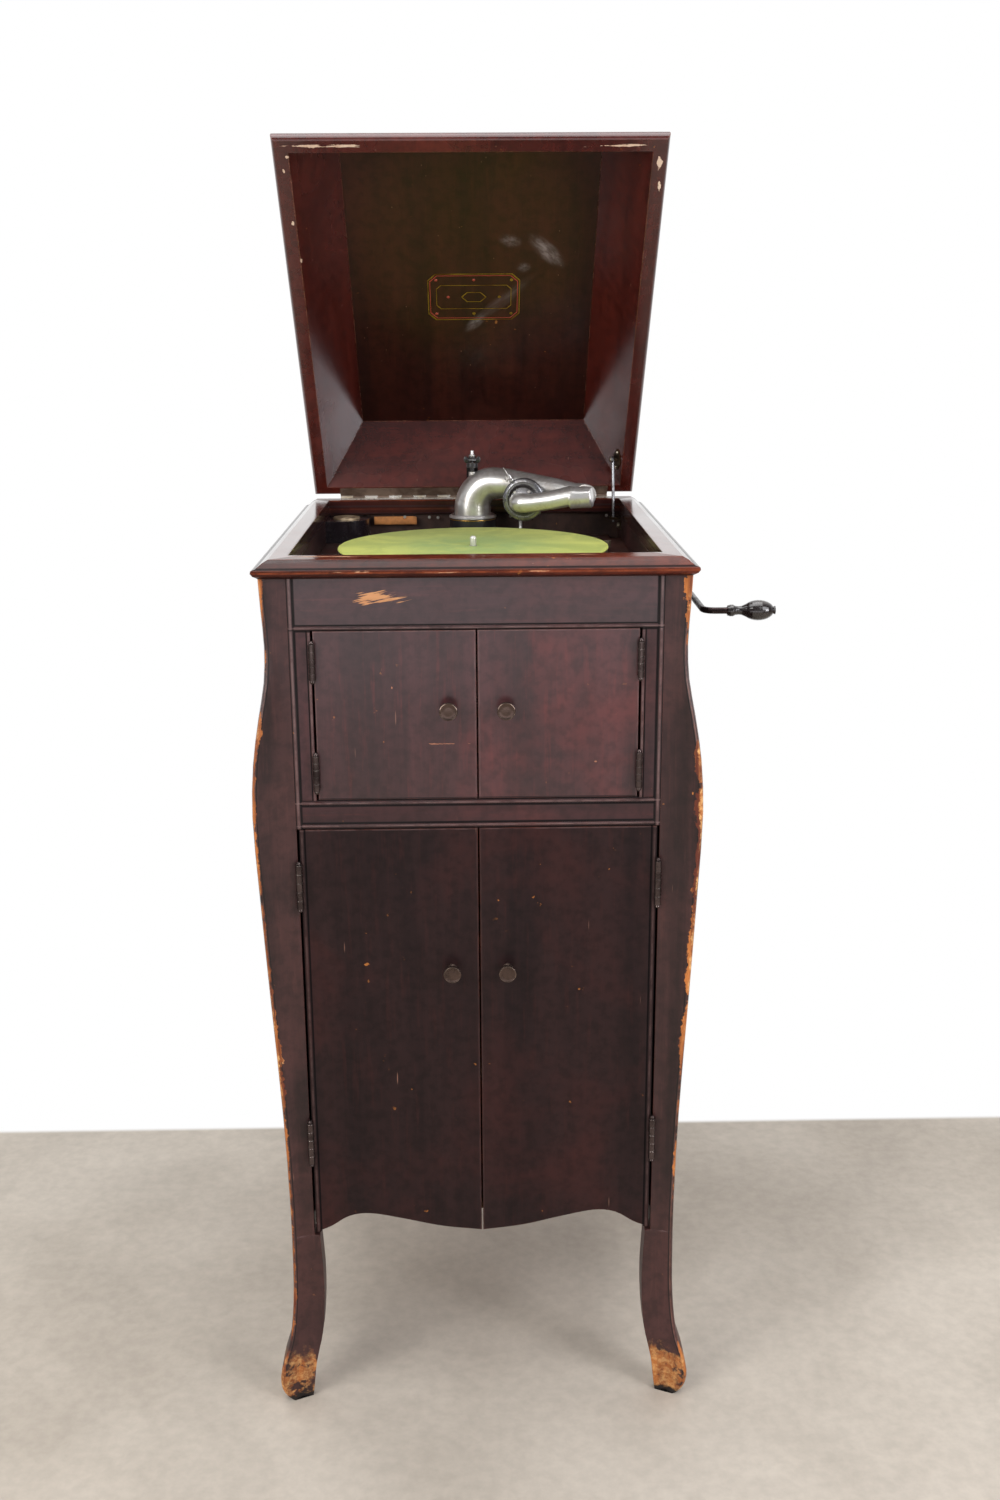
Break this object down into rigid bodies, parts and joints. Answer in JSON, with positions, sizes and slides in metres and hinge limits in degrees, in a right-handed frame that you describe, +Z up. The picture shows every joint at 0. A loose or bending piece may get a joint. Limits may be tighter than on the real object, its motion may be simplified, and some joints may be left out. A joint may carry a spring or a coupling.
{
  "type": "floor-standing gramophone cabinet",
  "caption": "Floor-standing gramophone in a wooden cabinet on curved legs: hinged lid, turntable, swinging tone arm with folding neck, winding crank, horn doors and record shelves.",
  "frame": {"origin": "on the floor under the middle of the whole machine, crank and open lid included", "axes": "+Z up, +X to the crank side (the viewer's right), the front looks to -Y"},
  "size_m": [0.5465, 0.5582, 1.3525],
  "materials": {
    "black_iron": "black japanned iron",
    "black_wood": "black-brown polished turned wood",
    "dark_mahogany": "dark aged mahogany, satin, worn to bare wood along the corners",
    "dull_brass": "dull, darkened brass",
    "green_felt": "green felt",
    "nickel": "nickel plate with a warm tint, aged",
    "plain_wood": "plain unfinished board",
    "red_mahogany": "polished red mahogany, worn at the edges",
    "steel": "bright machined steel"
  },
  "bodies": {
    "cabinet": {"top_frame": "red_mahogany", "leg_front_left": "dark_mahogany", "leg_front_right": "dark_mahogany", "leg_back_left": "dark_mahogany", "leg_back_right": "dark_mahogany", "side_panel_left": "dark_mahogany", "side_panel_right": "dark_mahogany", "back_panel": "dark_mahogany", "top_front_panel": "dark_mahogany", "front_stiles": "dark_mahogany", "middle_rail": "dark_mahogany", "front_beads": "dark_mahogany", "horn_floor": "plain_wood", "bottom_board": "plain_wood", "record_shelves": "plain_wood", "motor_board": "red_mahogany", "sound_horn": "plain_wood", "horn_slats": "dark_mahogany", "horn_elbow": "black_iron", "tonearm_base": "black_iron", "tonearm_bracket": "black_iron", "needle_cup": "black_iron", "crank_escutcheon": "nickel", "lid_hinge_frame_leaf": "dull_brass", "door_hinge_frame_leaves": "dull_brass", "lid_stay_guide": "dull_brass", "motor_frame": "black_iron", "speed_plate": "nickel"},
    "lid": {"lid_walls": "red_mahogany", "lid_top": "red_mahogany", "lid_hinge_leaf": "dull_brass", "lid_stay_bracket": "dull_brass"},
    "lid_stay": {"lid_stay": "nickel"},
    "upper_left_door": {"upper_door_left": "dark_mahogany", "upper_hinges_left": "dull_brass", "knob_upper_left": "dull_brass"},
    "upper_right_door": {"upper_door_right": "dark_mahogany", "upper_hinges_right": "dull_brass", "knob_upper_right": "dull_brass"},
    "lower_left_door": {"lower_door_left": "dark_mahogany", "lower_hinges_left": "dull_brass", "knob_lower_left": "dull_brass"},
    "lower_right_door": {"lower_door_right": "dark_mahogany", "lower_hinges_right": "dull_brass", "knob_lower_right": "dull_brass"},
    "record_table": {"turntable": "nickel", "turntable_felt": "green_felt", "spindle": "steel"},
    "intermediate_gear": {"intermediate_gear": "dull_brass"},
    "spring_barrel": {"spring_barrel": "steel"},
    "governor": {"governor": "dull_brass"},
    "crank": {"winding_shaft": "steel", "crank": "black_iron"},
    "crank_handle": {"crank_handle": "black_wood"},
    "tonearm": {"tonearm": "nickel"},
    "gooseneck": {"gooseneck": "nickel", "sound_box": "steel", "needle_arm": "nickel"},
    "brake_lever": {"brake_lever": "nickel"},
    "speed_lever": {"speed_lever": "nickel"}
  },
  "joints": [
    {"name": "lid_hinge", "type": "hinge", "parent": "cabinet", "child": "lid", "pos_m": [-0.047, 0.25207, 0.9484], "axis": [1, 0, 0], "range_deg": [0, 51.3]},
    {"name": "lid_stay_pivot", "type": "hinge", "parent": "lid", "child": "lid_stay", "pos_m": [0.12835, 0.22666, 0.99595], "axis": [1, 0, 0], "range_deg": [-21.5, 0]},
    {"name": "upper_left_door_hinge", "type": "hinge", "parent": "cabinet", "child": "upper_left_door", "pos_m": [-0.20825, -0.26143, 0.704], "axis": [0, 0, 1], "range_deg": [-105, 0]},
    {"name": "upper_right_door_hinge", "type": "hinge", "parent": "cabinet", "child": "upper_right_door", "pos_m": [0.11425, -0.26143, 0.704], "axis": [0, 0, 1], "range_deg": [0, 105]},
    {"name": "lower_left_door_hinge", "type": "hinge", "parent": "cabinet", "child": "lower_left_door", "pos_m": [-0.22985, -0.26143, 0.209], "axis": [0, 0, 1], "range_deg": [-92, 0]},
    {"name": "lower_right_door_hinge", "type": "hinge", "parent": "cabinet", "child": "lower_right_door", "pos_m": [0.13585, -0.26143, 0.209], "axis": [0, 0, 1], "range_deg": [0, 92]},
    {"name": "turntable_spin", "type": "hinge", "parent": "cabinet", "child": "record_table", "pos_m": [-0.049, 0.00037, 0.889], "axis": [0, 0, 1], "continuous": true},
    {"name": "intermediate_spin", "type": "hinge", "parent": "cabinet", "child": "intermediate_gear", "pos_m": [-0.02595, -0.02984, 0.889], "axis": [0, 0, 1], "continuous": true},
    {"name": "barrel_spin", "type": "hinge", "parent": "cabinet", "child": "spring_barrel", "pos_m": [0.025, -0.00913, 0.816], "axis": [0, 0, 1], "continuous": true},
    {"name": "governor_spin", "type": "hinge", "parent": "cabinet", "child": "governor", "pos_m": [-0.049, 0.02467, 0.836], "axis": [1, 0, 0], "continuous": true},
    {"name": "crank_spin", "type": "hinge", "parent": "cabinet", "child": "crank", "pos_m": [0.164, -0.00913, 0.868], "axis": [1, 0, 0], "continuous": true},
    {"name": "crank_handle_spin", "type": "hinge", "parent": "crank", "child": "crank_handle", "pos_m": [0.221, -0.12113, 0.868], "axis": [1, 0, 0], "continuous": true},
    {"name": "tonearm_swing", "type": "hinge", "parent": "cabinet", "child": "tonearm", "pos_m": [-0.049, 0.18887, 0.901], "axis": [0, 0, 1], "range_deg": [-50, 8]},
    {"name": "neck_turn", "type": "hinge", "parent": "tonearm", "child": "gooseneck", "pos_m": [0.09299, 0.15083, 0.963], "axis": [-0.2588, -0.9659, 0], "range_deg": [-150, 0]},
    {"name": "brake_lever_turn", "type": "hinge", "parent": "cabinet", "child": "brake_lever", "pos_m": [0.101, 0.12087, 0.901], "axis": [0, 0, 1], "range_deg": [0, 20]},
    {"name": "speed_lever_turn", "type": "hinge", "parent": "cabinet", "child": "speed_lever", "pos_m": [0.085, 0.18627, 0.901], "axis": [0, 0, 1], "range_deg": [-30, 30]}
  ],
  "couplings": [
    {"joint": "intermediate_spin", "follows": "turntable_spin", "ratio": -0.26667},
    {"joint": "barrel_spin", "follows": "turntable_spin", "ratio": 0.052174},
    {"joint": "governor_spin", "follows": "turntable_spin", "ratio": 12},
    {"joint": "lid_stay_pivot", "follows": "lid_hinge", "ratio": -0.417}
  ]
}
